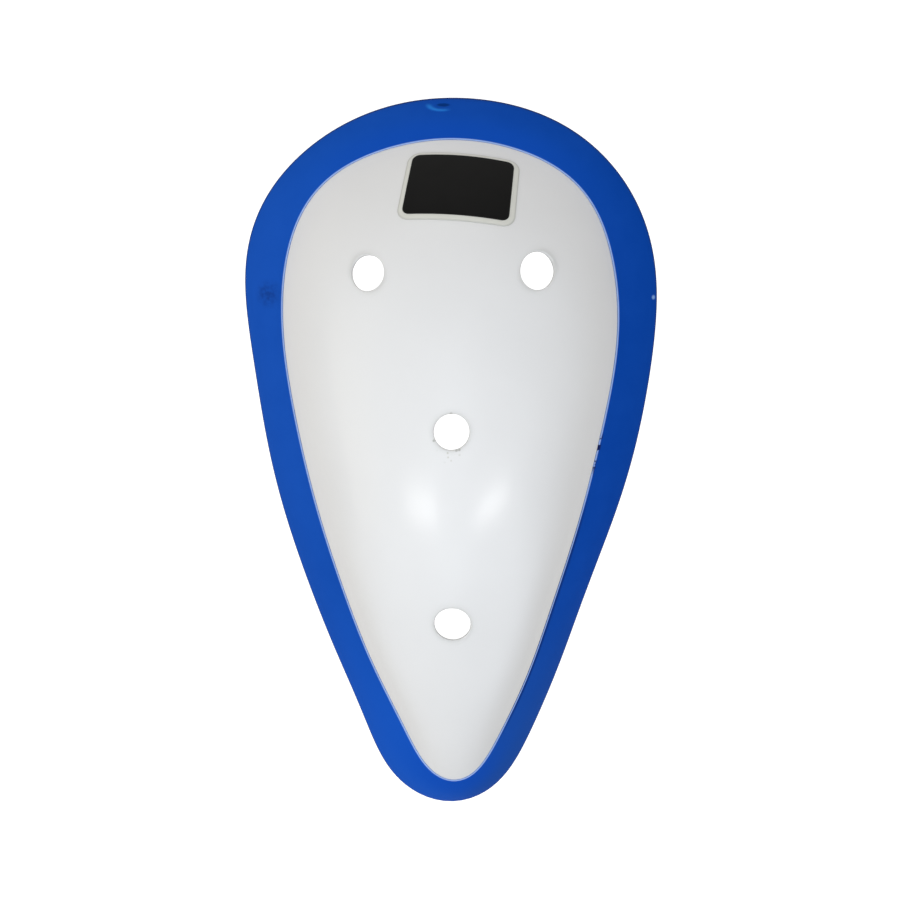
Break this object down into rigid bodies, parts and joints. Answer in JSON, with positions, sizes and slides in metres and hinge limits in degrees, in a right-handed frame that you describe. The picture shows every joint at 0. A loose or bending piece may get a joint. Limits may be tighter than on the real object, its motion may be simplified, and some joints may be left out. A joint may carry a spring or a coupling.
{
  "type": "cricket abdominal guard",
  "caption": "Pear-shaped hard domed cup with round vents, a soft flared rim moulded round its edge and a small plain badge, worn to shield the groin.",
  "frame": {"origin": "bottom centre of the bounding box, on the surface that the rim lies on", "axes": "+Z out of the dome, +Y towards the wide waist end, the narrow tip at -Y, +X across"},
  "size_m": [0.104, 0.1816, 0.0433],
  "materials": {
    "cup_plastic": "smooth white moulded polypropylene with a soft gloss",
    "rim_vinyl": "satin royal blue soft vinyl",
    "badge_pale": "satin pale grey vinyl",
    "badge_black": "satin black vinyl"
  },
  "bodies": {
    "root": {"shell": "cup_plastic", "rim": "rim_vinyl", "badge_backing": "badge_pale", "badge_panel": "badge_black"}
  },
  "joints": []
}
